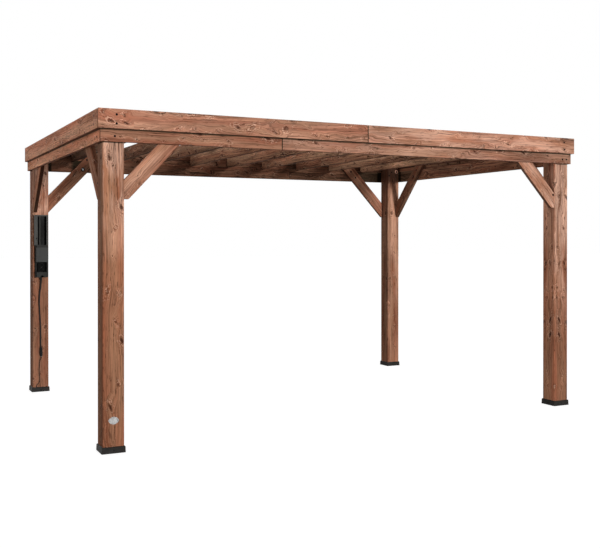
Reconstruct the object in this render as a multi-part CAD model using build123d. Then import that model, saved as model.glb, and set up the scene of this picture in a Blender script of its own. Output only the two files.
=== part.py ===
from build123d import *
import math
import os

# Flat topped cedar pergola, in millimetres. The origin is on the ground, in the middle of the four posts.
# +X runs along the long front, towards the right; +Y runs towards the rear; +Z is up.

# Plan: outer face to outer face of the posts
FRAME_LENGTH = 4156.0
FRAME_DEPTH = 2924.0

# Posts
POST_SIZE = 149.0
POST_EDGE = 4.0

# Post shoes, moulded cups with a floor that the post stands on
SHOE_WALL = 9.5
SHOE_HEIGHT = 45.0
SHOE_FLOOR = 4.0
SHOE_DRAFT = 1.5
SHOE_TOP_BEVEL = 4.0

# Lower beam boards, let into the heads of the posts
BEAM_BOTTOM = 2140.0
BEAM_HEIGHT = 118.0
BEAM_THICKNESS = 25.0
LET_IN = 5.0
BEAM_SEAM_X = -732.0

# Header boards in the same layer above an open slot, and the fascia boards that cover both from outside
SLOT_HEIGHT = 41.0
HEADER_HEIGHT = 62.0
FASCIA_HEIGHT = 136.0
FASCIA_THICKNESS = 21.0
FASCIA_RISE = 4.0
FASCIA_SEAM_X = 0.0
SEAM_GAP = 1.5
BOARD_EDGE = 2.0

# Rafters, between the beams and headers of the front and rear
RAFTER_BAYS = 10
RAFTER_WIDTH = 35.0
RAFTER_DEPTH = 114.0
SPLICE_LENGTH = 260.0
CLEAT_LENGTH = 90.0
CLEAT_HEIGHT = 65.0
CLEAT_THICKNESS = 18.0
CLEAT_GAP = 14.0

# Knee braces
BRACE_WIDTH = 114.0
BRACE_THICKNESS = 35.0
BRACE_PITCH = 46.6
BRACE_DROP = 545.0
FRONT_BRACE_NIB = 34.0
REAR_BRACE_NIB = 16.0
BRACE_HEAD_GAP = 4.0

# Power housing on the front face of the rear left post
HOUSING_WIDTH = 122.0
HOUSING_HEIGHT = 600.0
HOUSING_DEPTH = 65.0
HOUSING_TOP_GAP = 44.0
HOUSING_ACROSS = 0.5
HOUSING_SHEET = 2.5
HOUSING_BEVEL = 8.0
OPENING_CORNER = 4.0
LOWER_STEP_IN = 6.5
LOWER_STEP_Z = 306.0
SHELF_Z = 298.0
UPPER_OPENING_WIDTH = 84.0
UPPER_OPENING_ACROSS = 2.0
UPPER_OPENING_LOW = 311.0
UPPER_OPENING_HIGH = 588.0
LOWER_OPENING_RIGHT = 46.0
LOWER_OPENING_LOW = 51.0
LOWER_OPENING_HIGH = 147.0
SIDE_OPENING_OUT = 27.0
GLAND_NOTCH_RADIUS = 18.0
GLAND_NOTCH_ACROSS = 2.5
RAIL_WIDTH = 13.0
RAIL_DEPTH = 30.0
RAIL_ACROSS = -13.0
HOOD_LOW = 148.0
HOOD_HIGH = 287.0
HOOD_DEPTH = 12.0
HOOD_SLOPE = 7.0
HOOD_MARGIN = 2.0
OUTLET_WIDTH = 74.0
OUTLET_DEPTH = 22.0
OUTLET_LOW = 40.0
OUTLET_HIGH = 150.0
OUTLET_SINK = 3.0
OUTLET_RADIUS = 17.0
OUTLET_PITCH = 44.0

# Badge on the front left post, left blank
BADGE_WIDTH = 74.0
BADGE_HEIGHT = 52.0
BADGE_THICKNESS = 2.0
BADGE_Z = 225.0

# Power lead: gland, upper cord, in line plug and coupler, and the thinner lower lead
CORD_DIAMETER = 14.0
LEAD_DIAMETER = 6.0
GLAND_ACROSS = -1.5
GLAND_OUT = 30.0
GLAND_RADIUS = 11.5
GLAND_TIP_RADIUS = 8.5
GLAND_LENGTH = 26.0
PLUG_TOP = (-1.5, 16.0, 434.0)
COUPLER_FOOT = (2.5, 14.0, 338.0)
CORD_TAIL = 58.0
LEAD_TAIL = 12.0
PLUG_LENGTH = 52.0
PLUG_RADIUS = 13.0
PLUG_NECK_RADIUS = 8.5
PLUG_NECK = 18.0
COUPLER_RADIUS = 14.0
COUPLER_NECK_RADIUS = 6.0
COUPLER_NECK = 14.0
LEAD_FOOT = (-42.0, 3.5, SHOE_HEIGHT)
ARC_SHARE = 0.45

# Sizes worked out from those above
half_length = FRAME_LENGTH / 2
half_depth = FRAME_DEPTH / 2
proud = BEAM_THICKNESS - LET_IN
beam_top = BEAM_BOTTOM + BEAM_HEIGHT
header_bottom = beam_top + SLOT_HEIGHT
header_top = header_bottom + HEADER_HEIGHT
fascia_top = header_top + FASCIA_RISE
fascia_bottom = fascia_top - FASCIA_HEIGHT
fascia_face = proud + FASCIA_THICKNESS
brace_head = header_bottom - BRACE_HEAD_GAP
brace_foot = brace_head - BRACE_DROP
post_centre_x = half_length - POST_SIZE / 2
post_centre_y = half_depth - POST_SIZE / 2
rear_post_face = half_depth - POST_SIZE
housing_bottom = brace_foot - HOUSING_TOP_GAP - HOUSING_HEIGHT
lower_width = HOUSING_WIDTH - LOWER_STEP_IN
lower_across = LOWER_STEP_IN / 2
gland_end = housing_bottom - GLAND_LENGTH

# The points that the cord and the lead follow, chosen by hand: across from the middle of the rear left
# post, out from its front face, and the share of the way down from the upper end to the lower one
CORD_ROUTE = [
    (-1.5, 30.0, 0.07),
    (-12.5, 25.0, 0.18),
    (-17.5, 16.0, 0.31),
    (-12.5, 9.5, 0.45),
    (-6.5, 8.5, 0.6),
    (-3.5, 10.0, 0.76),
]
LEAD_ROUTE = [
    (-11.0, 12.0, 0.14),
    (-15.5, 7.0, 0.33),
    (-14.5, 5.0, 0.54),
    (-8.5, 5.5, 0.73),
    (-11.0, 6.0, 0.83),
    (-42.0, 3.5, 0.94),
]

# Every node's solid, under its name
parts = {}


def block(x_low, x_high, y_low, y_high, z_low, z_high):
    """A plain block between two corners."""
    size = (x_high - x_low, y_high - y_low, z_high - z_low)
    return Pos(x_low, y_low, z_low) * Box(*size, align=(Align.MIN, Align.MIN, Align.MIN))


def board(x_low, x_high, y_low, y_high, z_low, z_high):
    """A sawn board with every edge eased."""
    plain = block(x_low, x_high, y_low, y_high, z_low, z_high)
    return chamfer(plain.edges(), BOARD_EDGE)


def post(side_x, side_y):
    """A square post with eased long edges, its two outer faces cut back at the head for the beams."""
    x = side_x * post_centre_x
    y = side_y * post_centre_y
    half = POST_SIZE / 2
    shaft = block(x - half, x + half, y - half, y + half, SHOE_FLOOR, header_top)
    shaft = chamfer(shaft.edges().filter_by(Axis.Z), POST_EDGE)
    kept_x = x - side_x * LET_IN
    kept_y = y - side_y * LET_IN
    head = block(kept_x - half, kept_x + half, kept_y - half, kept_y + half, BEAM_BOTTOM, header_top)
    foot = block(x - half, x + half, y - half, y + half, SHOE_FLOOR, BEAM_BOTTOM)
    return shaft & (foot + head)


def shoe(side_x, side_y):
    """A drafted cup round the foot of a post, bevelled at its rim."""
    foot = POST_SIZE + 2 * SHOE_WALL
    rim = foot - 2 * SHOE_DRAFT
    lip = rim - 2 * SHOE_TOP_BEVEL
    bevel_z = SHOE_HEIGHT - SHOE_TOP_BEVEL
    low = Plane.XY * RectangleRounded(foot, foot, SHOE_WALL / 2)
    middle = Plane.XY.offset(bevel_z) * RectangleRounded(rim, rim, SHOE_WALL / 2)
    high = Plane.XY.offset(SHOE_HEIGHT) * RectangleRounded(lip, lip, SHOE_WALL / 4)
    cup = loft([low, middle]) + loft([middle, high])
    place = (Align.CENTER, Align.CENTER, Align.MIN)
    cup -= Pos(0, 0, SHOE_FLOOR) * Box(POST_SIZE, POST_SIZE, SHOE_HEIGHT, align=place)
    return Pos(side_x * post_centre_x, side_y * post_centre_y, 0) * cup


def long_boards(name, side_y, y_outer, y_inner, z_low, z_high, end, seam_x):
    """Two boards end to end along the front or the rear, meeting at a seam."""
    seam = -side_y * seam_x
    y_low, y_high = sorted((side_y * y_outer, side_y * y_inner))
    parts[f"{name}_left"] = board(-end, seam - SEAM_GAP / 2, y_low, y_high, z_low, z_high)
    parts[f"{name}_right"] = board(seam + SEAM_GAP / 2, end, y_low, y_high, z_low, z_high)


def ring():
    """The beams, headers and fascias round the heads of the posts."""
    inner_x = half_length - LET_IN
    outer_x = half_length + proud
    inner_y = half_depth - LET_IN
    outer_y = half_depth + proud
    face_x = half_length + fascia_face
    face_y = half_depth + fascia_face
    for row, side_y in (("front", -1), ("rear", 1)):
        long_boards(
            f"{row}_beam", side_y, outer_y, inner_y, BEAM_BOTTOM, beam_top, outer_x, BEAM_SEAM_X
        )
        long_boards(
            f"{row}_fascia", side_y, face_y, outer_y, fascia_bottom, fascia_top, face_x, FASCIA_SEAM_X
        )
        y_low, y_high = sorted((side_y * outer_y, side_y * inner_y))
        parts[f"{row}_header"] = board(-outer_x, outer_x, y_low, y_high, header_bottom, header_top)
    for side, side_x in (("left", -1), ("right", 1)):
        x_low, x_high = sorted((side_x * outer_x, side_x * inner_x))
        parts[f"{side}_beam"] = board(x_low, x_high, -inner_y, inner_y, BEAM_BOTTOM, beam_top)
        parts[f"{side}_header"] = board(x_low, x_high, -inner_y, inner_y, header_bottom, header_top)
        x_low, x_high = sorted((side_x * face_x, side_x * outer_x))
        parts[f"{side}_fascia"] = board(x_low, x_high, -outer_y, outer_y, fascia_bottom, fascia_top)


def rafter(index):
    """A rafter between the inner faces of the front and rear beams and headers."""
    x = -half_length + index * FRAME_LENGTH / RAFTER_BAYS
    end = half_depth - LET_IN
    low = header_top - RAFTER_DEPTH
    return board(x - RAFTER_WIDTH / 2, x + RAFTER_WIDTH / 2, -end, end, low, header_top)


def splice_block():
    """The rear block in the slot behind the fascia seam, with a cleat on its inner face by the rafter."""
    inner = half_depth - LET_IN
    half = SPLICE_LENGTH / 2
    filler = block(-half, half, inner, half_depth + proud, beam_top, header_bottom)
    right = -RAFTER_WIDTH / 2 - CLEAT_GAP
    middle = (beam_top + header_bottom) / 2
    low = middle - CLEAT_HEIGHT / 2
    cleat = block(right - CLEAT_LENGTH, right, inner - CLEAT_THICKNESS, inner, low, low + CLEAT_HEIGHT)
    return filler + chamfer(cleat.edges().group_by(Axis.Y)[0], BOARD_EDGE)


def brace_blade(nib):
    """A knee brace in its own plane: x runs out from the post's face and y up from the ground.
    The nib is the flat at its foot: a shorter one leaves the foot longer and more pointed."""
    slope = math.tan(math.radians(BRACE_PITCH))
    foot = brace_foot - (FRONT_BRACE_NIB - nib) * slope
    heel = foot - nib * slope + BRACE_WIDTH / math.cos(math.radians(BRACE_PITCH))
    outline = [
        (0, foot),
        (nib, foot),
        (FRONT_BRACE_NIB + BRACE_DROP / slope, brace_head),
        ((brace_head - heel) / slope, brace_head),
        (0, heel),
    ]
    blade = extrude(make_face(Polyline(outline, close=True)), BRACE_THICKNESS)
    return chamfer(blade.edges(), BOARD_EDGE)


def to_corner(shape, side_x, side_y):
    """Moves a piece drawn at the front left corner to another corner by mirroring."""
    if side_x > 0:
        shape = mirror(shape, Plane.YZ)
    if side_y > 0:
        shape = mirror(shape, Plane.XZ)
    return shape


def long_brace(blade, side_x, side_y):
    """A brace in the front or rear plane, from the post's side up on to the beam's inner face."""
    outer = -half_depth + LET_IN + BRACE_THICKNESS
    placed = Pos(-half_length + POST_SIZE, outer, 0) * (Rot(90, 0, 0) * blade)
    return to_corner(placed, side_x, side_y)


def side_brace(blade, side_x, side_y):
    """A brace in the left or right plane, from the post's side up on to the beam's inner face."""
    upright = Rot(0, 0, 90) * (Rot(90, 0, 0) * blade)
    placed = Pos(-half_length + LET_IN, -half_depth + POST_SIZE, 0) * upright
    return to_corner(placed, side_x, side_y)


def in_housing(width, out_low, out_high, z_low, z_high, across=0.0):
    """A block on the rear left post: out from the post's front face, up from the housing's bottom."""
    x = -post_centre_x + HOUSING_ACROSS + across
    y_low = rear_post_face - out_high
    y_high = rear_post_face - out_low
    z = housing_bottom
    return block(x - width / 2, x + width / 2, y_low, y_high, z + z_low, z + z_high)


def folded_box(width, z_low, z_high, across=0.0, inset=0.0):
    """A box of the housing with bevelled upright front edges, or the space inside its sheet."""
    bevel = HOUSING_BEVEL - inset * math.tan(math.radians(22.5))
    box = in_housing(width - 2 * inset, inset, HOUSING_DEPTH - inset, z_low, z_high, across)
    return chamfer(box.edges().filter_by(Axis.Z).group_by(Axis.Y)[0], bevel)


def power_housing():
    """A folded sheet box: an open pocket above, and below it an outlet recess, set in on the left."""
    sheet = HOUSING_SHEET
    front = HOUSING_DEPTH
    step = LOWER_STEP_Z
    shell = folded_box(HOUSING_WIDTH, step, HOUSING_HEIGHT)
    shell += folded_box(lower_width, 0, step, lower_across)
    shell -= folded_box(HOUSING_WIDTH, step + sheet, HOUSING_HEIGHT - sheet, inset=sheet)
    shell -= folded_box(lower_width, SHELF_Z + sheet, step + sheet, lower_across, sheet)
    shell -= folded_box(lower_width, sheet, SHELF_Z, lower_across, sheet)
    upper = in_housing(
        UPPER_OPENING_WIDTH,
        front - 2 * sheet,
        front + sheet,
        UPPER_OPENING_LOW,
        UPPER_OPENING_HIGH,
        UPPER_OPENING_ACROSS,
    )
    shell -= chamfer(upper.edges().filter_by(Axis.Y), OPENING_CORNER)
    beyond_left = -HOUSING_WIDTH / 2 - sheet
    shell -= in_housing(
        LOWER_OPENING_RIGHT - beyond_left,
        SIDE_OPENING_OUT,
        front + sheet,
        LOWER_OPENING_LOW,
        LOWER_OPENING_HIGH,
        (LOWER_OPENING_RIGHT + beyond_left) / 2,
    )
    notch = Rot(90, 0, 0) * Cylinder(GLAND_NOTCH_RADIUS, 2 * sheet)
    notch_x = -post_centre_x + GLAND_NOTCH_ACROSS
    shell -= Pos(notch_x, rear_post_face - front + sheet / 2, housing_bottom) * notch
    return shell


def pocket_rail():
    """The upright rail at the back of the upper pocket."""
    low = SHELF_Z + HOUSING_SHEET
    high = HOUSING_HEIGHT - HOUSING_SHEET
    out = HOUSING_SHEET + RAIL_DEPTH
    rail = in_housing(RAIL_WIDTH, HOUSING_SHEET, out, low, high, RAIL_ACROSS)
    return chamfer(rail.edges().filter_by(Axis.Z).group_by(Axis.Y)[0], HOUSING_SHEET)


def outlet_hood():
    """The cover plate over the outlets, standing further out towards its lower edge."""
    near = rear_post_face - HOUSING_DEPTH
    low = housing_bottom + HOOD_LOW
    high = housing_bottom + HOOD_HIGH
    width = lower_width - 2 * HOOD_MARGIN
    left = -post_centre_x + HOUSING_ACROSS + lower_across - width / 2
    profile = [
        (left, near, low),
        (left, near - HOOD_DEPTH, low),
        (left, near - HOOD_DEPTH + HOOD_SLOPE, high),
        (left, near, high),
    ]
    plate = extrude(make_face(Polyline(profile, close=True)), width, dir=(1, 0, 0))
    return chamfer(plate.edges().filter_by(Axis.X).group_by(Axis.Y)[0], HOUSING_SHEET / 2)


def outlet_block():
    """The outlet block at the back of the recess, with two round sunk faces."""
    front = HOUSING_SHEET + OUTLET_DEPTH
    plate = in_housing(OUTLET_WIDTH, HOUSING_SHEET, front, OUTLET_LOW, OUTLET_HIGH, lower_across)
    middle = housing_bottom + (OUTLET_LOW + OUTLET_HIGH) / 2
    x = -post_centre_x + HOUSING_ACROSS + lower_across
    for step in (-1, 1):
        place = Pos(x, rear_post_face - front, middle + step * OUTLET_PITCH / 2)
        plate -= place * (Rot(90, 0, 0) * Cylinder(OUTLET_RADIUS, 2 * OUTLET_SINK))
    return plate


def badge():
    """A blank oval plate with pointed ends, made of two arcs."""
    tip = BADGE_WIDTH / 2
    crown = BADGE_HEIGHT / 2
    upper = ThreePointArc((-tip, 0), (0, crown), (tip, 0))
    lower = ThreePointArc((tip, 0), (0, -crown), (-tip, 0))
    plate = extrude(make_face([upper, lower]), BADGE_THICKNESS)
    return Pos(-post_centre_x, -half_depth, BADGE_Z) * (Rot(90, 0, 0) * plate)


def on_post(point):
    """A route's point in the frame."""
    across, out, height = point
    return Vector(-post_centre_x + across, rear_post_face - out, height)


def hung(upper, route, lower):
    """A route between two ends, its heights taken as shares of the way down."""
    return [(across, out, upper[2] + share * (lower[2] - upper[2])) for across, out, share in route]


def beyond(start, end, distance):
    """The point a distance further on past the end of a line, in a route's terms."""
    step = distance / math.dist(start, end)
    return tuple(stop + step * (stop - begin) for begin, stop in zip(start, end))


def tube(label, route, diameter):
    """A cord of straight runs joined by tangent arcs."""
    points = [on_post(point) for point in route]
    radii = []
    for before, here, after in zip(points, points[1:], points[2:]):
        into = here - before
        onward = after - here
        turn = math.radians(into.get_angle(onward))
        radii.append(ARC_SHARE * min(into.length, onward.length) / math.tan(turn / 2))
    path = FilletPolyline(*points, radius=radii)
    start = Plane(origin=points[0], z_dir=points[1] - points[0])
    cord = sweep(start * Circle(diameter / 2), path)
    expected = path.length * math.pi * diameter**2 / 4
    print(label, "radii", [round(radius) for radius in radii])
    print(label, "length", round(path.length, 1), "volume ratio", round(cord.volume / expected, 4))
    return cord


def turned(outline, start, towards):
    """A round piece whose radius and distance pairs run from one point of the post towards another."""
    face = make_face(Plane.XZ * Polyline([(0, 0), *outline, (0, outline[-1][1])], close=True))
    origin = on_post(start)
    return Plane(origin=origin, z_dir=on_post(towards) - origin).location * revolve(face, Axis.Z)


def gland():
    """The tapered strain relief under the housing."""
    collar = GLAND_LENGTH / 4
    outline = [(GLAND_RADIUS, 0), (GLAND_RADIUS, collar), (GLAND_TIP_RADIUS, GLAND_LENGTH)]
    return turned(outline, (GLAND_ACROSS, GLAND_OUT, housing_bottom), gland_mouth)


def plug():
    """The plug on the lower end of the cord, narrow where the cord enters."""
    outline = [(PLUG_NECK_RADIUS, 0), (PLUG_RADIUS, PLUG_NECK), (PLUG_RADIUS, PLUG_LENGTH)]
    return turned(outline, PLUG_TOP, COUPLER_FOOT)


def coupler():
    """The socket on the upper end of the lead, narrow where the lead leaves."""
    length = (on_post(PLUG_TOP) - on_post(COUPLER_FOOT)).length - PLUG_LENGTH
    outline = [(COUPLER_NECK_RADIUS, 0), (COUPLER_RADIUS, COUPLER_NECK), (COUPLER_RADIUS, length)]
    return turned(outline, COUPLER_FOOT, PLUG_TOP)


gland_mouth = (GLAND_ACROSS, GLAND_OUT, gland_end)
cord_route = [
    gland_mouth,
    *hung(gland_mouth, CORD_ROUTE, PLUG_TOP),
    beyond(COUPLER_FOOT, PLUG_TOP, CORD_TAIL),
    PLUG_TOP,
]
lead_route = [
    COUPLER_FOOT,
    beyond(PLUG_TOP, COUPLER_FOOT, LEAD_TAIL),
    *hung(COUPLER_FOOT, LEAD_ROUTE, LEAD_FOOT),
    LEAD_FOOT,
]
corners = {
    "front_left": (-1, -1),
    "front_right": (1, -1),
    "rear_left": (-1, 1),
    "rear_right": (1, 1),
}
front_blade = brace_blade(FRONT_BRACE_NIB)
rear_blade = brace_blade(REAR_BRACE_NIB)
for corner, (side_x, side_y) in corners.items():
    parts[f"post_{corner}"] = post(side_x, side_y)
    parts[f"shoe_{corner}"] = shoe(side_x, side_y)
    blade = rear_blade if side_y > 0 else front_blade
    parts[f"long_brace_{corner}"] = long_brace(blade, side_x, side_y)
    parts[f"side_brace_{corner}"] = side_brace(blade, side_x, side_y)
ring()
for index in range(1, RAFTER_BAYS):
    parts[f"rafter_{index}"] = rafter(index)
parts["splice_block_rear"] = splice_block()
parts["splice_block_front"] = Rot(0, 0, 180) * parts["splice_block_rear"]
parts["power_housing"] = power_housing()
parts["pocket_rail"] = pocket_rail()
parts["outlet_hood"] = outlet_hood()
parts["outlet_block"] = outlet_block()
parts["blank_badge"] = badge()
parts["cord_gland"] = gland()
parts["power_cord"] = tube("power_cord", cord_route, CORD_DIAMETER)
parts["cord_plug"] = plug()
parts["lead_coupler"] = coupler()
parts["supply_lead"] = tube("supply_lead", lead_route, LEAD_DIAMETER)

os.makedirs("parts", exist_ok=True)
for name, shape in parts.items():
    export_step(shape, f"parts/{name}.step")
print(len(parts), "parts written")
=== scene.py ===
import bmesh
import bpy
import math
from mathutils import Matrix, Vector


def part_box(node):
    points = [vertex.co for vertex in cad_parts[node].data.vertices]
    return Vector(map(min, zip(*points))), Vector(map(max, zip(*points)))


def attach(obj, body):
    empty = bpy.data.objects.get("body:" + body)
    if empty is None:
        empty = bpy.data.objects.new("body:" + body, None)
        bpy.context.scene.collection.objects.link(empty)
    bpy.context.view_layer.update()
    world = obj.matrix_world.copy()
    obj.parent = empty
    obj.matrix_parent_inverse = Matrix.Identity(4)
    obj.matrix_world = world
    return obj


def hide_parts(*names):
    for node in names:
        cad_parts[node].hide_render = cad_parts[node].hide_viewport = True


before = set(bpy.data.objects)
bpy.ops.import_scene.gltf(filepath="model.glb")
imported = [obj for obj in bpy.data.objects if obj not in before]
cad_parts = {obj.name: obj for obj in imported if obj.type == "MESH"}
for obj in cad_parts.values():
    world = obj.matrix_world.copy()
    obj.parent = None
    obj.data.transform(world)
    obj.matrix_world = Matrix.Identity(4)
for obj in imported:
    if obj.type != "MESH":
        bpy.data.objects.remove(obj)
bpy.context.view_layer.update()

# Where the posts, boards and braces are, read from the frame, in metres
post_low, post_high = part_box("post_rear_left")
post_size = post_high.x - post_low.x
post_x = (post_low.x + post_high.x) / 2
post_face = post_low.y
front_post_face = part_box("post_front_left")[0].y
inner_x = -(post_low.x + post_size)
inner_y = -(front_post_face + post_size)
housing_low, housing_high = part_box("power_housing")
beam_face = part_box("front_beam_left")[0].y
beam_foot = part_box("front_beam_left")[0].z
beam_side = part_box("left_beam")[0].x
fascia_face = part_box("front_fascia_left")[0].y
fascia_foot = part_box("front_fascia_left")[0].z
fascia_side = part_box("left_fascia")[0].x
long_brace_low, long_brace_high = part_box("long_brace_front_left")
long_brace_outer, long_brace_inner = -long_brace_low.y, -long_brace_high.y
side_brace_low, side_brace_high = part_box("side_brace_front_left")
side_brace_outer, side_brace_inner = -side_brace_low.x, -side_brace_high.x
corners = {
    "front_left": (-1, -1),
    "front_right": (1, -1),
    "rear_left": (-1, 1),
    "rear_right": (1, 1),
}


# Node tools

def put(tree, kind, inputs=None, **settings):
    """Adds one shader node; an input is given a value or another node's output."""
    made = tree.nodes.new(kind)
    for name, value in settings.items():
        setattr(made, name, value)
    for name, value in (inputs or {}).items():
        if isinstance(value, bpy.types.NodeSocket):
            tree.links.new(value, made.inputs[name])
        else:
            made.inputs[name].default_value = value
    return made


def calc(tree, operation, first, second=0.0):
    """One sum on numbers."""
    made = put(tree, "ShaderNodeMath", {0: first, 1: second}, operation=operation)
    return made.outputs[0]


def total(tree, *values):
    """The sum of several numbers."""
    result = values[0]
    for value in values[1:]:
        result = calc(tree, "ADD", result, value)
    return result


def product(tree, *values):
    """The product of several numbers."""
    result = values[0]
    for value in values[1:]:
        result = calc(tree, "MULTIPLY", result, value)
    return result


def swing(tree, value, amount):
    """A noise value's swing about its middle, times an amount."""
    return product(tree, calc(tree, "SUBTRACT", value, 0.5), amount)


def length(tree, first, second):
    """How long a line is, from its reach along two axes."""
    squares = [calc(tree, "POWER", reach, 2.0) for reach in (first, second)]
    return calc(tree, "SQRT", total(tree, *squares))


def vary(tree, value, low, high, out_low=0.0, out_high=1.0, smooth=False):
    """Maps one range of a number to another."""
    made = put(
        tree,
        "ShaderNodeMapRange",
        {"Value": value, "From Min": low, "From Max": high, "To Min": out_low, "To Max": out_high},
        interpolation_type="SMOOTHSTEP" if smooth else "LINEAR",
    )
    return made.outputs["Result"]


def blend_colour(tree, share, first, second, kind="MIX"):
    """Mixes two colours by a share."""
    made = put(tree, "ShaderNodeMix", data_type="RGBA", blend_type=kind)
    for name, value in (("Factor", share), ("A", first), ("B", second)):
        socket = [entry for entry in made.inputs if entry.name == name and entry.enabled][0]
        if isinstance(value, bpy.types.NodeSocket):
            tree.links.new(value, socket)
        else:
            socket.default_value = value
    return [entry for entry in made.outputs if entry.enabled][0]


def grain_noise(tree, place, scale, detail=2.0, rough=0.5):
    """Noise at a place, as a number about one half."""
    made = put(
        tree,
        "ShaderNodeTexNoise",
        {"Vector": place, "Scale": scale, "Detail": detail, "Roughness": rough},
    )
    return made.outputs["Fac"]


def spread(tree, place, along, across, detail=2.0, rough=0.5):
    """Noise drawn out along the grain: its frequency along and across, in cycles a metre."""
    stretched = join(tree, product(tree, place[0], along), product(tree, place[1], across))
    return grain_noise(tree, stretched, 1.0, detail, rough)


def join(tree, x, y, z=0.0):
    """A vector from three numbers."""
    return put(tree, "ShaderNodeCombineXYZ", {"X": x, "Y": y, "Z": z}).outputs[0]


def split(tree, vector):
    """The three numbers of a vector."""
    return put(tree, "ShaderNodeSeparateXYZ", {0: vector}).outputs


def shifted_place(tree, shift):
    """The place on the object, moved by a shift."""
    place = put(tree, "ShaderNodeTexCoord").outputs["Object"]
    return put(tree, "ShaderNodeMapping", {"Vector": place, "Location": shift}).outputs[0]


def opaque(channels):
    """A colour's three channels with nothing see-through."""
    return (*channels, 1.0)


def new_material(name):
    """A material with its tree emptied down to one shader, which is returned with its tree."""
    material = bpy.data.materials.new(name)
    material.use_nodes = True
    tree = material.node_tree
    tree.nodes.clear()
    shader = put(tree, "ShaderNodeBsdfPrincipled")
    output = put(tree, "ShaderNodeOutputMaterial")
    tree.links.new(shader.outputs[0], output.inputs["Surface"])
    return material, tree, shader


def paint(tree, shader, colour, rough, gloss):
    """Gives the shader its colour, its roughness and its gloss."""
    tree.links.new(colour, shader.inputs["Base Color"])
    tree.links.new(rough, shader.inputs["Roughness"])
    shader.inputs["Specular IOR Level"].default_value = gloss


def bump(tree, shader, height, depth, strength):
    """Feeds a height to the shader's normal."""
    made = put(tree, "ShaderNodeBump", {"Height": height, "Distance": depth, "Strength": strength})
    tree.links.new(made.outputs["Normal"], shader.inputs["Normal"])


# Stained cedar: one shared grain pattern, turned along each board and shifted so that no two match

TAN_STAIN = (0.385, 0.197, 0.121, 1.0)
RED_STAIN = (0.315, 0.122, 0.072, 1.0)
FADED_STAIN = (0.60, 0.355, 0.258, 1.0)
KNOT_CORE = (0.050, 0.016, 0.010, 1.0)
KNOT_RED = (0.125, 0.036, 0.020, 1.0)
KNOT_PALE = (0.66, 0.40, 0.28, 1.0)
END_GRAIN = (0.17, 0.075, 0.045, 1.0)
# Knots: how many to a metre along and across the board, the least and greatest radius, how far they
# lean, how they are drawn out along the grain, and the step between the strokes round them
KNOTS_ALONG = 6.5
KNOTS_ACROSS = 12.0
KNOT_RADII = (0.0045, 0.0190)
KNOT_LEAN = 3.4
KNOT_STRETCH = 0.7
KNOT_RIPPLE = 0.017
# Growth lines along the board and arcs on its sawn ends, in radians to a metre
LINE_FREQUENCY = 430.0
ARC_FREQUENCY = 1100.0
HEART_OF_TREE = (0.0, 0.31, 0.17)
DARKEST_SHADE = 0.12
CEDAR_GLOSS = 0.015
GRAIN_DEPTH = 0.0007
# Left faces fade less by this share, which paints shade on them
LEFT_FADE_SHARE = 0.3

# fade: two heights in metres and how faded the board is at each
# rise: painted light and shade along the board: an axis, two places along it and the share of the
# tone at each, on front and left faces
# contrast: how strong the grain is
# clear: the share of knots left out
# left, under: the share of the tone on faces that look left or down, which is painted light and
# shade on left faces and painted shade on faces that look down
# rich: how strong the colour is, and below 1 how much browner; on shaded boards and in dark bands
# the browner colour is painted shade
# seams: dark bands, each an axis, a place along it, half its width, the way its faces look and the
# share of the tone that stays in it; most are painted shade, and some are dark joints
PLAIN_LOOK = {
    "fade": (0.0, 1.0, 0.0, 0.0),
    "rise": ("Z", 0.0, 1.0, 1.0, 1.0),
    "contrast": 1.0,
    "clear": 0.25,
    "left": 1.0,
    "under": 0.42,
    "rich": 1.0,
    "seams": (),
}
X_AXIS, Y_AXIS, Z_AXIS = (1, 0, 0), (0, 1, 0), (0, 0, 1)


def knot_field(tree, along, across, place, clear):
    """Where the nearest knot is: how far away, its size, whether it is there, and its chances."""
    cell = join(tree, product(tree, along, KNOTS_ALONG), product(tree, across, KNOTS_ACROSS))
    knots = put(
        tree,
        "ShaderNodeTexVoronoi",
        {"Vector": cell, "Scale": 1.0, "Randomness": 0.9},
        voronoi_dimensions="2D",
    ).outputs
    chance = put(tree, "ShaderNodeSeparateColor", {0: knots["Color"]}).outputs
    offset = put(
        tree, "ShaderNodeVectorMath", {0: cell, 1: knots["Position"]}, operation="SUBTRACT"
    ).outputs[0]
    offset = split(tree, offset)
    step_across = calc(tree, "DIVIDE", offset["Y"], KNOTS_ACROSS)
    lean = product(tree, calc(tree, "SUBTRACT", chance["Blue"], 0.5), step_across, KNOT_LEAN)
    step_along = total(tree, calc(tree, "DIVIDE", offset["X"], KNOTS_ALONG), lean)
    step_along = product(tree, step_along, KNOT_STRETCH)
    uneven = swing(tree, grain_noise(tree, place, 45.0, 3.0), 0.012)
    away = total(tree, length(tree, step_along, step_across), uneven)
    size = vary(tree, calc(tree, "POWER", chance["Green"], 1.6), 0.0, 1.0, *KNOT_RADII)
    present = vary(tree, chance["Red"], clear, total(tree, clear, 0.03))
    return away, size, present, chance


def draw_knots(tree, colour, place, knots):
    """Broken red and pale strokes round a dark red core, which is returned with the colour."""
    away, size, present, chance = knots
    torn = swing(tree, grain_noise(tree, place, 60.0, 4.0, 0.7), 0.05)
    ripple = product(tree, total(tree, away, torn), math.tau / KNOT_RIPPLE)
    ripple = calc(tree, "SINE", ripple)
    near = vary(tree, away, size, product(tree, size, 4.2), 1.0, 0.0, smooth=True)
    broken = vary(tree, grain_noise(tree, place, 24.0, 3.0, 0.6), 0.44, 0.58)
    near = product(tree, near, present, broken)
    pale = product(tree, vary(tree, ripple, 0.1, 0.7), near, 0.8)
    colour = blend_colour(tree, pale, colour, KNOT_PALE)
    red = product(tree, vary(tree, ripple, -0.1, -0.7), near, 0.85)
    colour = blend_colour(tree, red, colour, KNOT_RED)
    core = vary(tree, away, product(tree, size, 0.4), product(tree, size, 1.1), 1.0, 0.0)
    core = product(tree, core, present, vary(tree, chance["Blue"], 0.2, 0.7, 0.5, 1.0))
    return blend_colour(tree, product(tree, core, 0.9), colour, KNOT_CORE), core


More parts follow.
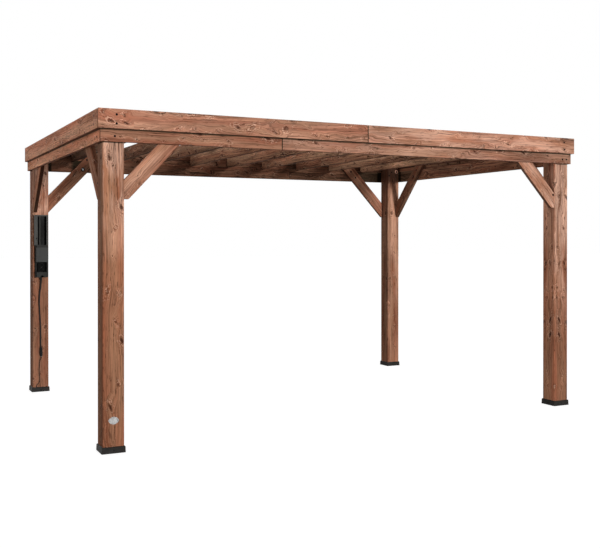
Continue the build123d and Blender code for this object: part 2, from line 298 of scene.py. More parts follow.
def draw_ends(tree, colour, place, facing):
    """Arcs across the board on its sawn ends."""
    centre = put(
        tree, "ShaderNodeVectorMath", {0: place, 1: HEART_OF_TREE}, operation="SUBTRACT"
    ).outputs[0]
    sides = split(tree, centre)
    arcs = product(tree, length(tree, sides["Y"], sides["Z"]), ARC_FREQUENCY)
    arcs = vary(tree, calc(tree, "SINE", arcs), -1.0, 1.0, 0.55, 1.25)
    end_colour = blend_colour(tree, 1.0, END_GRAIN, join(tree, arcs, arcs, arcs), "MULTIPLY")
    facing = split(tree, facing)
    end_share = vary(tree, calc(tree, "ABSOLUTE", facing["X"]), 0.93, 0.98)
    return blend_colour(tree, end_share, colour, end_colour)


def cedar_pattern():
    """The node group for stained cedar. Its place has X along the grain."""
    tree = bpy.data.node_groups.new("stained_cedar_grain", "ShaderNodeTree")
    for name in ("Place", "Facing"):
        tree.interface.new_socket(name, in_out="INPUT", socket_type="NodeSocketVector")
    for name in ("Tone", "Faded", "Contrast", "Clear", "Rich"):
        tree.interface.new_socket(name, in_out="INPUT", socket_type="NodeSocketFloat")
    tree.interface.new_socket("Colour", in_out="OUTPUT", socket_type="NodeSocketColor")
    for name in ("Roughness", "Height"):
        tree.interface.new_socket(name, in_out="OUTPUT", socket_type="NodeSocketFloat")
    given = put(tree, "NodeGroupInput").outputs
    place = split(tree, given["Place"])
    along = place["X"]
    across = total(tree, place["Y"], place["Z"])
    knots = knot_field(tree, along, across, given["Place"], given["Clear"])
    away, size, present, chance = knots

    # The lines of the grain waver slowly and bend round each knot
    halo = vary(tree, away, 0.0, product(tree, size, 7.0), 1.0, 0.0, smooth=True)
    halo = product(tree, halo, present)
    bent = product(tree, calc(tree, "SUBTRACT", chance["Blue"], 0.5), halo, 0.07)
    waver = swing(tree, spread(tree, (along, across), 0.9, 4.0), 0.07)
    lines = total(tree, across, waver, bent)
    path = (along, lines)

    # Growth lines, streaks, fibres, patches and specks
    spacing = vary(tree, spread(tree, path, 0.3, 13.0, 1.0), 0.3, 0.7, 0.0, 9.0)
    wave = calc(tree, "SINE", total(tree, product(tree, lines, LINE_FREQUENCY), spacing))
    ring = calc(tree, "POWER", vary(tree, wave, -1.0, 1.0), 3.0)
    ring = product(tree, ring, vary(tree, spread(tree, path, 0.7, 9.0), 0.42, 0.62))
    streak = spread(tree, path, 1.6, 62.0, 5.0, 0.75)
    line = vary(tree, spread(tree, path, 2.2, 120.0, 3.0, 0.6), 0.54, 0.66)
    line = product(tree, line, vary(tree, spread(tree, path, 1.1, 6.0), 0.42, 0.60))
    fibre = spread(tree, (along, across), 20.0, 800.0)
    patch = spread(tree, path, 1.4, 8.0, 3.0, 0.55)
    fleck = vary(tree, spread(tree, path, 14.0, 120.0, 3.0, 0.6), 0.58, 0.68)
    hue = vary(tree, spread(tree, path, 0.8, 13.0, 2.0), 0.36, 0.64)
    colour = blend_colour(tree, hue, RED_STAIN, TAN_STAIN)
    worn = spread(tree, path, 2.6, 16.0, 4.0, 0.6)
    pale = product(tree, given["Faded"], vary(tree, worn, 0.38, 0.60, 0.0, 2.0))
    colour = blend_colour(tree, pale, colour, FADED_STAIN)
    marks = total(
        tree,
        swing(tree, streak, 2.0),
        swing(tree, fibre, 0.3),
        swing(tree, patch, 1.0),
        product(tree, line, -0.42),
        product(tree, ring, -0.30),
        product(tree, fleck, -0.5),
    )
    shade = total(tree, 1.0, product(tree, given["Contrast"], marks))
    shade = calc(tree, "MAXIMUM", shade, DARKEST_SHADE)
    colour, core = draw_knots(tree, colour, given["Place"], knots)
    colour = draw_ends(tree, colour, given["Place"], given["Facing"])

    value = product(tree, given["Tone"], shade)
    # Richness below 1, given on shaded boards and in dark bands as painted shade, turns the colour
    # browner and duller
    browner = vary(tree, given["Rich"], 0.5, 1.0, 0.535, 0.5)
    strength = vary(tree, given["Rich"], 0.5, 1.5, 0.8, 1.2)
    toned = put(
        tree,
        "ShaderNodeHueSaturation",
        {"Color": colour, "Value": value, "Saturation": strength, "Hue": browner},
    ).outputs[0]
    rough = total(tree, 0.60, product(tree, streak, 0.25))
    height = total(
        tree, product(tree, ring, -0.5), product(tree, fibre, 0.5), product(tree, core, -1.2)
    )
    put(tree, "NodeGroupOutput", {"Colour": toned, "Roughness": rough, "Height": height})
    return tree


cedar_grain = cedar_pattern()


def seam_dusk(tree, spot, facing, seams):
    """The share of the tone that stays in dark bands, on the faces that look their way: painted
    shade under boards, by the posts and in a brace's shadow, and dark joints.
    """
    dusk = 1.0
    for axis, middle, half, facing_way, share in seams:
        way = Vector(facing_way).normalized()
        out = put(tree, "ShaderNodeVectorMath", {0: facing, 1: way}, operation="DOT_PRODUCT")
        kept = vary(tree, out.outputs["Value"], 0.5, 0.65, 1.0, 0.0)
        gap = calc(tree, "ABSOLUTE", calc(tree, "SUBTRACT", spot[axis], middle))
        band = calc(tree, "MAXIMUM", kept, vary(tree, gap, half * 0.7, half * 1.3, share, 1.0))
        dusk = product(tree, dusk, band)
    return dusk


def cedar(name, along, across, seed, tone=1.0, **look):
    """Stained cedar for one board: its grain's direction, another face's direction, its own shift
    and tone, and any changes to the plain look, which paint light and shade on some faces."""
    look = {**PLAIN_LOOK, **look}
    material, tree, shader = new_material(name)
    along = Vector(along).normalized()
    across = Vector(across).normalized()
    turn = Matrix((along, across, along.cross(across))).to_euler("XYZ")
    shift = (seed * 1.713, seed * 0.377, seed * 0.529)
    coordinates = put(tree, "ShaderNodeTexCoord").outputs
    place = put(
        tree,
        "ShaderNodeMapping",
        {"Vector": coordinates["Object"], "Rotation": turn, "Location": shift},
    ).outputs[0]
    facing = put(
        tree,
        "ShaderNodeMapping",
        {"Vector": coordinates["Normal"], "Rotation": turn},
        vector_type="VECTOR",
    ).outputs[0]
    spot = split(tree, coordinates["Object"])
    normal = split(tree, coordinates["Normal"])
    # Left faces fade less: painted shade on them
    left_fade_painted_shade = vary(tree, normal["X"], -0.9, -0.5, LEFT_FADE_SHARE, 1.0)
    faded = product(tree, vary(tree, spot["Z"], *look["fade"]), left_fade_painted_shade)
    # Painted shade on faces that look down, and painted light and shade on faces that look left
    tone_with_painted_shade = vary(tree, normal["Z"], -0.65, -0.4, look["under"] * tone, tone)
    tone_with_painted_shade = product(tree, tone_with_painted_shade, vary(tree, normal["X"], -0.9, -0.5, look["left"], 1.0))
    # The rise: painted light and shade along the board, on front and left faces
    rise_axis, *rise = look["rise"]
    shown = vary(tree, total(tree, normal["X"], normal["Y"]), -0.3, 0.3, 1.0, 0.0)
    gain = calc(tree, "SUBTRACT", vary(tree, spot[rise_axis], *rise), 1.0)
    tone_with_painted_shade = product(tree, tone_with_painted_shade, total(tree, 1.0, product(tree, gain, shown)))
    # Dark bands: painted shade and dark joints; the darker bands also turn the colour browner
    dusk = seam_dusk(tree, spot, coordinates["Normal"], look["seams"])
    rich = vary(tree, dusk, 0.1, 0.7, 0.5, look["rich"])
    tone_with_painted_shade = product(tree, tone_with_painted_shade, dusk)
    inputs = {
        "Place": place,
        "Facing": facing,
        "Tone": tone_with_painted_shade,
        "Faded": faded,
        "Contrast": look["contrast"],
        "Clear": look["clear"],
        "Rich": rich,
    }
    grain = put(tree, "ShaderNodeGroup", inputs, node_tree=cedar_grain).outputs
    paint(tree, shader, grain["Colour"], grain["Roughness"], CEDAR_GLOSS)
    bump(tree, shader, grain["Height"], GRAIN_DEPTH, 0.8)
    return material


# Plastic, rubber, steel and metal

# The power box: the height of its lower part, its sheet's thickness and how wide its edges are
HOUSING_STEP = 0.306
HOUSING_SKIN = 0.0022
HOUSING_EDGE = 0.004
# The coat's colours: dusty above, painted shade on the lower part and inside, and a painted sheen
# on the upper left side
HOUSING_COAT = (0.046, 0.045, 0.041)
HOUSING_LOWER_SHADE = (0.018, 0.0175, 0.016, 1.0)
HOUSING_LEFT_SHEEN = (0.105, 0.102, 0.096, 1.0)
HOUSING_INSIDE_SHADE = (0.004, 0.0036, 0.003, 1.0)


def moulded(name, colour, rough, dust, seed, gloss=0.06):
    """Dull plastic or rubber with a fine texture, worn and dusty in patches."""
    material, tree, shader = new_material(name)
    place = shifted_place(tree, (seed, seed, seed))
    patch = grain_noise(tree, place, 18.0, 4.0, 0.6)
    fine = grain_noise(tree, place, 1600.0, 2.0)
    scuff = vary(tree, grain_noise(tree, place, 130.0, 3.0, 0.7), 0.58, 0.75)
    pale = opaque(channel + dust for channel in colour)
    shade = blend_colour(tree, vary(tree, patch, 0.4, 0.75), opaque(colour), pale)
    shade = blend_colour(tree, product(tree, scuff, 0.5), shade, pale)
    worn = vary(tree, patch, 0.3, 0.7, rough - 0.07, rough + 0.1)
    paint(tree, shader, shade, worn, gloss)
    bump(tree, shader, total(tree, fine, product(tree, scuff, 0.6)), 0.0002, 0.5)
    return material


def coated_steel(name, colour, seed, gloss=0.05):
    """Powder-coated sheet steel: orange peel and faint dust."""
    material, tree, shader = new_material(name)
    place = shifted_place(tree, (seed, 0.0, seed))
    peel = grain_noise(tree, place, 900.0, 2.0)
    cloud = grain_noise(tree, place, 9.0, 4.0, 0.6)
    dust = opaque(channel * 1.5 + 0.004 for channel in colour)
    shade = blend_colour(tree, vary(tree, cloud, 0.38, 0.72), opaque(colour), dust)
    paint(tree, shader, shade, vary(tree, cloud, 0.3, 0.7, 0.42, 0.6), gloss)
    bump(tree, shader, peel, 0.00015, 0.6)
    return material


def housing_paint(name):
    """The box's coat: dusty above, with painted shade on its lower part and inside, and a painted
    sheen on its left side.
    """
    material = coated_steel(name, HOUSING_COAT, 2.0)
    tree = material.node_tree
    shader = tree.nodes["Principled BSDF"]
    dusty = shader.inputs["Base Color"].links[0].from_socket
    coordinates = put(tree, "ShaderNodeTexCoord").outputs
    place = split(tree, coordinates["Object"])
    normal = split(tree, coordinates["Normal"])
    step = housing_low.z + HOUSING_STEP
    # Painted shade on the lower part
    upper = vary(tree, place["Z"], step + 0.003, step + 0.008)
    shade = blend_colour(tree, upper, HOUSING_LOWER_SHADE, dusty)
    # Painted sheen on the upper left side
    left = vary(tree, product(tree, normal["X"], -1.0), 0.3, 0.9)
    shade = blend_colour(tree, product(tree, left, upper), shade, HOUSING_LEFT_SHEEN)
    # Painted shade inside the box
    middle = (housing_low.x + housing_high.x) / 2
    half = (housing_high.x - housing_low.x) / 2 - HOUSING_EDGE
    from_middle = calc(tree, "ABSOLUTE", calc(tree, "SUBTRACT", place["X"], middle))
    inside = calc(tree, "LESS_THAN", from_middle, half)
    behind = calc(tree, "GREATER_THAN", place["Y"], housing_low.y + HOUSING_SKIN)
    shade = blend_colour(tree, product(tree, inside, behind), shade, HOUSING_INSIDE_SHADE)
    tree.links.new(shade, shader.inputs["Base Color"])
    return material


def brushed_metal(name, bright):
    """Brushed, lightly tarnished metal."""
    material, tree, shader = new_material(name)
    metal = (bright, bright * 0.975, bright * 0.95)
    tarnish = [channel * 0.6 for channel in metal]
    place = put(tree, "ShaderNodeTexCoord").outputs["Object"]
    drawn_out = {"Vector": place, "Scale": (18.0, 1.0, 1500.0)}
    brushed = grain_noise(tree, put(tree, "ShaderNodeMapping", drawn_out).outputs[0], 1.0, 2.0)
    cloud = grain_noise(tree, place, 55.0, 3.0)
    shade = blend_colour(tree, vary(tree, cloud, 0.35, 0.7), opaque(metal), opaque(tarnish))
    paint(tree, shader, shade, vary(tree, brushed, 0.3, 0.7, 0.3, 0.48), 0.25)
    shader.inputs["Metallic"].default_value = 0.45
    bump(tree, shader, brushed, 0.0001, 0.5)
    return material


shoe_black = moulded("shoe_black", (0.016, 0.014, 0.012), 0.55, 0.018, 1.0)
housing_grey = housing_paint("housing_grey")
cover_grey = moulded("cover_grey", (0.041, 0.041, 0.039), 0.55, 0.005, 3.0)
rail_grey = moulded("rail_grey", (0.032, 0.031, 0.028), 0.5, 0.008, 3.5)
outlet_black = moulded("outlet_black", (0.003, 0.003, 0.0028), 0.6, 0.002, 4.0, gloss=0.02)
cord_black = moulded("cord_black", (0.012, 0.011, 0.010), 0.55, 0.008, 5.0)
connector_black = moulded("connector_black", (0.008, 0.008, 0.0075), 0.5, 0.006, 6.0)
screw_black = coated_steel("screw_black", (0.002, 0.002, 0.003), 7.0, gloss=0.03)
painted_slot_shade = moulded("painted_slot_shade", (0.002, 0.002, 0.002), 0.6, 0.001, 8.0)
seal_grey = moulded("seal_grey", (0.25, 0.23, 0.2), 0.5, 0.05, 9.0)
washer_zinc = brushed_metal("washer_zinc", 0.14)
badge_metal = brushed_metal("badge_metal", 0.25)
# A pale cedar for a patch of painted sunlight on the rear right post's head
painted_sunlight_cedar = cedar("painted_sunlight_cedar", Z_AXIS, X_AXIS, 2.9, 2.6, fade=(0.0, 1.0, 1.0, 1.0))


# The boards' looks

# Each post's tone and its changes to the plain look. Their rise and left shares are painted light
# and shade: the rear left post's fade and rise above the power box are painted light, and the rear
# right post's rise darkens its head as painted shade
POST_LOOKS = {
    "front_left": {
        "tone": 0.84,
        "fade": (1.3, 2.1, 0.0, 0.95),
        "rise": ("Z", 0.3, 2.0, 0.98, 1.16),
        "contrast": 1.155,
        "clear": 0.35,
        "left": 0.67,
        "rich": 1.16,
    },
    "front_right": {
        "tone": 0.83,
        "fade": (0.6, 2.2, 0.0, 1.05),
        "rise": ("Z", 0.3, 1.2, 0.86, 1.0),
        "contrast": 1.265,
        "clear": 0.2,
        "left": 1.50,
        "rich": 1.10,
    },
    "rear_left": {
        "tone": 0.68,
        "fade": (1.62, 1.80, 0.0, 0.5),
        "rise": ("Z", 1.66, 1.76, 1.0, 1.75),
        "contrast": 1.21125,
        "clear": 0.5,
        "left": 0.56,
        "rich": 1.05,
    },
    "rear_right": {
        "tone": 0.86,
        "fade": (0.5, 2.1, 0.1, 0.35),
        "rise": ("Z", 2.12, 2.20, 1.0, 0.65),
        "contrast": 1.2825,
        "clear": 0.5,
        "left": 0.67,
        "rich": 1.10,
    },
}
# Each corner's long and side brace: its tone, how faded it is, and the share of the tone below,
# which is painted shade on its underside
BRACE_LOOKS = {
    "front_left": ((0.90, 0.2, 0.42), (0.80, 0.0, 0.24)),
    "front_right": ((1.08, 0.45, 0.42), (0.70, 0.0, 0.24)),
    "rear_left": ((0.72, 0.0, 0.42), (1.20, 0.0, 0.15)),
    "rear_right": ((0.95, 0.1, 0.42), (0.75, 0.0, 0.55)),
}
BRACE_CONTRASTS = {"front": 1.1, "rear": 1.425}
BRACE_CLEAR = 0.5
BRACE_RICHNESS = 1.06
BRACE_PITCH = math.radians(46.6)
# Each kind of board: its tone at the front, rear, left and right; the side and rear tones also
# paint how light falls there, painted light on the left boards and painted shade on the rear boards
BOARD_TONES = {
    "beam": (0.92, 0.70, 1.58, 1.22),
    "fascia": (1.10, 0.80, 1.43, 0.80),
    "header": (0.85, 0.60, 0.60, 0.60),
}
BOARD_FADES = {
    "front_fascia_left": 0.08,
    "front_fascia_right": 0.29,
    "front_beam_right": 0.20,
    "left_fascia": 0.3,
}
# The browner colour of the rear and right boards is painted shade
BOARD_RICHNESS = {"front": 1.0, "rear": 0.96, "left": 1.08, "right": 0.96}
LIT_CONTRAST = 1.25
SHADED_CONTRAST = 1.9
KNOTTY_CLEAR = 0.05
# The rafters' low tones by the left side, their darkening towards the rear and their browner colour
# are painted shade
RAFTER_TONES = (0.50, 0.78, 1.15, 1.42, 1.55, 1.70, 1.42, 1.55, 1.70)
RAFTER_REAR_SHADE = ("Y", 0.6, 1.35, 1.0, 0.6)
RAFTER_RICHNESS = 0.90
SPLICE_TONE = 0.95
SPLICE_RICHNESS = 0.93
# Half the width of each dark band in metres, and the share of the tone that stays in it. The
# lines under the fascia and under the beams, the corner lines and the corner dusk by the posts are
# painted shade; the joint line is a dark joint between boards
FASCIA_LINE = 0.0085
BEAM_LINE = 0.006
JOINT_LINE = 0.0035
CORNER_LINE = 0.028
SEAM_SHADE = 0.16
CORNER_DUSK = 0.40
DUSK_SHADE = 0.40
# Where the rear left long brace's shadow falls, and the dull right end of the front beam: the
# place along X and half the width
BRACE_SHADOW = (-1.605, 0.07)
DULL_END = (1.95, 0.50)
DULL_END_SHADE = 0.72


def dress(node, material):
    """Gives a CAD node its material."""
    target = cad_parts[node]
    target.data.materials.clear()
    target.data.materials.append(material)


def even_fade(amount):
    """The same fading at every height."""
    return (0.0, 1.0, amount, amount)


def dress_corner(corner, seed):
    """Cedar on a post and its two braces, and black plastic on its shoe."""
    side_x, side_y = corners[corner]
    # Painted shade under the beams, across the post's head
    seam = ("Z", beam_foot, BEAM_LINE, (side_x, side_y, 0), SEAM_SHADE)
    look = {**POST_LOOKS[corner], "seams": [seam]}
    dress(f"post_{corner}", cedar(f"cedar_post_{corner}", Z_AXIS, X_AXIS, 3.1 + seed, **look))
    dress(f"shoe_{corner}", shoe_black)
    level = math.cos(BRACE_PITCH)
    climb = math.sin(BRACE_PITCH)
    long_look, side_look = BRACE_LOOKS[corner]
    for kind, along, across, shift, (tone, faded, under) in (
        ("long", (-side_x * level, 0.0, climb), Y_AXIS, 11.3, long_look),
        ("side", (0.0, -side_y * level, climb), X_AXIS, 17.9, side_look),
    ):
        name = f"{kind}_brace_{corner}"
        look = {
            "fade": even_fade(faded),
            "contrast": BRACE_CONTRASTS[corner.split("_")[0]],
            "clear": BRACE_CLEAR,
            "under": under,
            "rich": BRACE_RICHNESS,
        }
        dress(name, cedar(f"cedar_{name}", along, across, shift + seed, tone, **look))


def board_seams(name, along, outer):
    """A board's dark bands: painted shade under the fascia, a dark joint, painted shade on its
    inner face by the posts, the brace's painted shadow, and the front beam's darker right end.
    """
    low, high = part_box(name)
    seams = []
    if "beam" in name:
        seams.append(("Z", fascia_foot, FASCIA_LINE, outer, SEAM_SHADE))
    if along == X_AXIS and "header" not in name:
        joint = high.x if name.endswith("_left") else low.x
        seams.append(("X", joint, JOINT_LINE, outer, SEAM_SHADE))
    if "fascia" not in name:
        inner = tuple(-step for step in outer)
        axis, post_inner = ("X", inner_x) if along == X_AXIS else ("Y", inner_y)
        reach = post_inner - CORNER_LINE
        seams += [(axis, side * reach, CORNER_LINE, inner, SEAM_SHADE) for side in (-1, 1)]
        seams.append((axis, reach, CORNER_DUSK, inner, DUSK_SHADE))
    if name in ("rear_header", "rear_beam_left"):
        seams.append(("X", *BRACE_SHADOW, (0, -1, 0), SEAM_SHADE))
    if name == "front_beam_right":
        seams.append(("X", *DULL_END, outer, DULL_END_SHADE))
    return seams


def dress_board(name, along, outer, seed, tone):
    """Cedar on one beam, header or fascia."""
    side = name.split("_")[0]
    across = Y_AXIS if along == X_AXIS else X_AXIS
    look = {
        "fade": even_fade(BOARD_FADES.get(name, 0.0)),
        "contrast": LIT_CONTRAST if side in ("front", "left") else SHADED_CONTRAST,
        "rich": BOARD_RICHNESS[side],
        "seams": board_seams(name, along, outer),
    }
    if side == "front" and name.endswith("right"):
        look["clear"] = KNOTTY_CLEAR
    dress(name, cedar(f"cedar_{name}", along, across, seed, tone, **look))


def dress_frame():
    """Cedar on the posts, braces, beams, headers, fascias, rafters and splice blocks."""
    for index, corner in enumerate(corners):
        dress_corner(corner, index)
    seed = 23.0
    for kind, (front_tone, rear_tone, left_tone, right_tone) in BOARD_TONES.items():
        for row, side_y, row_tone in (("front", -1, front_tone), ("rear", 1, rear_tone)):
            ends = ("",) if kind == "header" else ("_left", "_right")
            for end in ends:
                seed += 1.37
                dress_board(f"{row}_{kind}{end}", X_AXIS, (0, side_y, 0), seed, row_tone)
        for side, side_x, side_tone in (("left", -1, left_tone), ("right", 1, right_tone)):
            seed += 1.37
            dress_board(f"{side}_{kind}", Y_AXIS, (side_x, 0, 0), seed, side_tone)
    look = {"contrast": SHADED_CONTRAST, "rise": RAFTER_REAR_SHADE, "rich": RAFTER_RICHNESS}
    for index, tone in enumerate(RAFTER_TONES, start=1):
        name = f"rafter_{index}"
        dress(name, cedar(f"cedar_{name}", Y_AXIS, X_AXIS, 51.0 + 1.19 * index, tone, **look))
    for row in ("front", "rear"):
        name = f"cedar_splice_{row}"
        grain = cedar(name, X_AXIS, Y_AXIS, 71.0, SPLICE_TONE, rich=SPLICE_RICHNESS)
        dress(f"splice_block_{row}", grain)


def dress_fittings():
    """Steel, plastic and metal on the power box, the badge and the connector."""
    for node, material in (
        ("power_housing", housing_grey),
        ("pocket_rail", rail_grey),
        ("outlet_hood", cover_grey),
        ("outlet_block", outlet_black),
        ("blank_badge", badge_metal),
        ("cord_gland", connector_black),
        ("cord_plug", connector_black),
        ("lead_coupler", connector_black),
    ):
        dress(node, material)


dress_frame()
dress_fittings()


# New pieces. All sizes are in metres.

SCREW_RADIUS = 0.0080
SCREW_HEIGHT = 0.0035
FLUSH_SCREW_HEIGHT = 0.0003
# A screw head's steps inwards from its flange, in shares of its radius, and upwards, of its height
SCREW_STEPS = ((0.2, 0.0), (0.02, 0.45), (0.09, 0.19), (0.12, 0.06), (0.08, 0.0), (0.02, -0.45))
SHOE_SCREW_RADIUS = 0.004
BRACE_SCREW_RADIUS = 0.0100
# The screws at a post's head: their heights, and their places across from its middle, which for
# the boards are given for the left posts (-1) and the right posts (1)
FASCIA_SCREW_HEIGHTS = (2.3255, 2.2635)
FASCIA_SCREWS_ACROSS = {-1: 0.0125, 1: -0.0015}
BEAM_SCREW_HEIGHT = 2.179
BEAM_SCREWS_ACROSS = {-1: (0.0055,), 1: (-0.0015, 0.0425)}
POST_HEAD_SCREWS = ((-0.056, 2.212), (-0.020, 2.254))
# A screw in a patch of painted sunlight: its place across and height, and the patch's size
SUNLIT_SCREW = (0.043, 2.259)
SUNLIGHT_PATCH_RADIUS = 0.022
SUNLIGHT_PATCH_THICKNESS = 0.0006
# How far out from the post's inner face and how high the screws of a brace are
BRACE_HEAD_SCREWS = ((0.428, 2.250), (0.368, 2.184))
BRACE_FOOT_SCREW = (0.013, 1.864)
CORNER_WITHOUT_FOOT_SCREW = corners["front_left"]
CORNER_WITH_WASHER = corners["rear_left"]
SCREW_BY_WASHER = (0.397, 2.266)
WASHER_SPOT = (0.357, 2.169)
WASHER_RIM_RADIUS = 0.021
WASHER_RADIUS = 0.012
WASHER_THICKNESS = 0.0012
SHOE_SCREW_HEIGHT = 0.020
SHOE_LEAN = 0.0009
OUTLET_SINK = 0.003
OUTLET_PITCH = 0.044
OUTLET_RIM_RADIUS = 0.0178
OUTLET_RIM_THICKNESS = 0.0012
SLOT_REACH = 0.0063
SLOT_HALF_WIDTH = 0.0011
SLOT_HEIGHT = 0.0085
SLOT_PROUD = 0.0004
SLOT_SUNK = 0.0006
SLOT_SOFTENING = 0.0003
EARTH_DROP = 0.0065
EARTH_RADIUS = 0.0027
EARTH_THICKNESS = 0.0006
MIDDLE_SCREW_RADIUS = 0.0032
MIDDLE_SCREW_THICKNESS = 0.0011
BADGE_MARGIN = 0.0045
BADGE_TIP_MARGIN = 0.0072
BADGE_LINE_RADIUS = 0.0009
BADGE_PIN_INSET = 0.0035
BADGE_PIN_RADIUS = 0.0019
BADGE_PIN_THICKNESS = 0.0006
KNOB_INSET = 0.011
KNOB_HEIGHT = 1.480
KNOB_STEP = 0.004
KNOB_RADIUS = 0.0065
KNOB_TIP_RADIUS = 0.005
# Grip ribs: how far down from the plug's top they are, and how thick
PLUG_RADIUS = 0.013
PLUG_RIBS = (0.024, 0.030, 0.036, 0.042)
PLUG_RIB_THICKNESS = 0.003
COUPLER_RADIUS = 0.014
COUPLER_RIBS = (0.060, 0.066, 0.072)
COUPLER_RIB_THICKNESS = 0.0025
LOCK_RING = 0.052
LOCK_RING_THICKNESS = 0.005
SEAL_RISE = 0.006
SEAL_RADIUS = 0.0085
SEAL_THICKNESS = 0.004


def finish_piece(name, mesh, material):
    """Makes an object of a bmesh, at the origin, riding on the frame."""
    data = bpy.data.meshes.new(name)
    mesh.to_mesh(data)
    mesh.free()
    piece = bpy.data.objects.new(name, data)
    bpy.context.collection.objects.link(piece)
    data.materials.append(material)
    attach(piece, "root")


def outward_matrix(centre, outward):
    """A place whose Z axis points outwards."""
    turn = Vector(outward).to_track_quat("Z", "Y").to_matrix().to_4x4()
    return Matrix.Translation(centre) @ turn


def add_disc(mesh, centre, outward, radius, thick, segments=32, taper=0.94):
    """A flat round with a softened rim."""
    place = outward_matrix(Vector(centre), outward)
    bmesh.ops.create_cone(
        mesh, cap_ends=True, segments=segments, radius1=radius, radius2=radius * taper, depth=thick,
        matrix=place @ Matrix.Translation((0, 0, thick / 2)),
    )


def edges_of(verts):
    """The edges that meet at some vertices, each once."""
    return list(dict.fromkeys(edge for vert in verts for edge in vert.link_edges))


def turn_section(mesh, section, centre, axis, angle, steps, closed=False):
    """Turns a small circle about an axis into a round bar."""
    bmesh.ops.spin(
        mesh, geom=section + edges_of(section), cent=centre, axis=axis, angle=angle, steps=steps,
        use_merge=closed,
    )


def add_ring(mesh, centre, outward, radius, thick, segments=36, sides=10):
    """A round ring about a line, turned from a small circle."""
    place = outward_matrix(Vector(centre), outward)
    start = place @ Matrix.Translation((radius, 0, 0)) @ Matrix.Rotation(math.radians(90), 4, "X")
    section = bmesh.ops.create_circle(mesh, segments=sides, radius=thick / 2, matrix=start)["verts"]
    turn_section(mesh, section, centre, place.to_3x3().col[2], math.tau, segments, closed=True)


def add_block(mesh, low, high, edge):
    """A box between two corners with rounded edges."""
    low, high = Vector(low), Vector(high)
    place = Matrix.Translation((low + high) / 2) @ Matrix.Diagonal((*(high - low), 1.0))
    made = bmesh.ops.create_cube(mesh, size=1.0, matrix=place)["verts"]
    bmesh.ops.bevel(
        mesh, geom=edges_of(made), offset=edge, segments=3, affect="EDGES", profile=0.5, material=-1
    )


def add_screw(mesh, centre, outward, radius, height, spin):
    """A washer-headed structural screw: a thin flange, a domed head and a recess in it."""
    place = outward_matrix(Vector(centre), outward) @ Matrix.Rotation(spin, 4, "Z")
    flange_height = height * 0.3
    flange = bmesh.ops.create_cone(
        mesh, cap_ends=True, segments=28, radius1=radius, radius2=radius * 0.93,
        depth=flange_height, matrix=place @ Matrix.Translation((0, 0, flange_height / 2)),
    )["verts"]
    faces = {face for vert in flange for face in vert.link_faces}
    top = max(faces, key=lambda face: (place.inverted() @ face.calc_center_median()).z)
    for inset, rise in SCREW_STEPS:
        bmesh.ops.inset_region(mesh, faces=[top], thickness=radius * inset, depth=height * rise)


def screws(name, places, radius=SCREW_RADIUS, height=SCREW_HEIGHT):
    """Many screws as one piece, each head standing proud by its height."""
    mesh = bmesh.new()
    for index, (centre, outward) in enumerate(places):
        add_screw(mesh, centre, outward, radius, height, spin=index * 0.7)
    finish_piece(name, mesh, screw_black)


def discs(name, material, slot, *rounds):
    """Flat rounds as one piece."""
    mesh = bmesh.new()
    for values in rounds:
        add_disc(mesh, *values)
    finish_piece(name, mesh, material)


def head_screws():
    """The screws at each post that hold the fascias and beams, on all four sides."""
    fascia_places = []
    beam_places = []
    post_y = -(front_post_face + post_size / 2)
    for side_x in (-1, 1):
        for side_y in (-1, 1):
            across = FASCIA_SCREWS_ACROSS[side_x]
            for height in FASCIA_SCREW_HEIGHTS:
                x = side_x * -post_x + across
                fascia_places.append(((x, side_y * -fascia_face, height), (0, side_y, 0)))
                y = side_y * (post_y - across)
                fascia_places.append(((side_x * -fascia_side, y, height), (side_x, 0, 0)))
            for across in BEAM_SCREWS_ACROSS[side_x]:
                x = side_x * -post_x + across
                spot = (x, side_y * -beam_face, BEAM_SCREW_HEIGHT)
                beam_places.append((spot, (0, side_y, 0)))
            y = side_y * (post_y - BEAM_SCREWS_ACROSS[-1][0])
            beam_places.append(((side_x * -beam_side, y, BEAM_SCREW_HEIGHT), (side_x, 0, 0)))
    screws("fascia_screws", fascia_places, height=FLUSH_SCREW_HEIGHT)
    screws("beam_screws", beam_places)


def brace_screws():
    """The screws in the braces' inner faces at their heads and in their outer faces at their feet,
    and a washer on the rear left long brace."""
    places = []
    for side_x in (-1, 1):
        for side_y in (-1, 1):
            for reach, height in BRACE_HEAD_SCREWS:
                if (side_x, side_y) != CORNER_WITH_WASHER:
                    spot = (side_x * (inner_x - reach), side_y * long_brace_inner, height)
                    places.append((spot, (0, -side_y, 0)))
                spot = (side_x * side_brace_inner, side_y * (inner_y - reach), height)
                places.append((spot, (-side_x, 0, 0)))
            reach, height = BRACE_FOOT_SCREW
            if (side_x, side_y) != CORNER_WITHOUT_FOOT_SCREW:
                spot = (side_x * (inner_x - reach), side_y * long_brace_outer, height)
                places.append((spot, (0, side_y, 0)))
            spot = (side_x * side_brace_outer, side_y * (inner_y - reach), height)
            places.append((spot, (side_x, 0, 0)))
    forward = (0, -1, 0)
    reach, height = SCREW_BY_WASHER
    places.append(((reach - inner_x, long_brace_inner, height), forward))
    screws("brace_screws", places, BRACE_SCREW_RADIUS)
    reach, height = WASHER_SPOT
    rim = (reach - inner_x, long_brace_inner, height)
    washer = (reach - inner_x, long_brace_inner - WASHER_THICKNESS, height)
    discs(
        "brace_washer_rim", screw_black, "housing_paint",
        (rim, forward, WASHER_RIM_RADIUS, WASHER_THICKNESS, 32, 0.9),
    )
    discs(
        "brace_washer", washer_zinc, "badge_metal",
        (washer, forward, WASHER_RADIUS, WASHER_THICKNESS),
    )


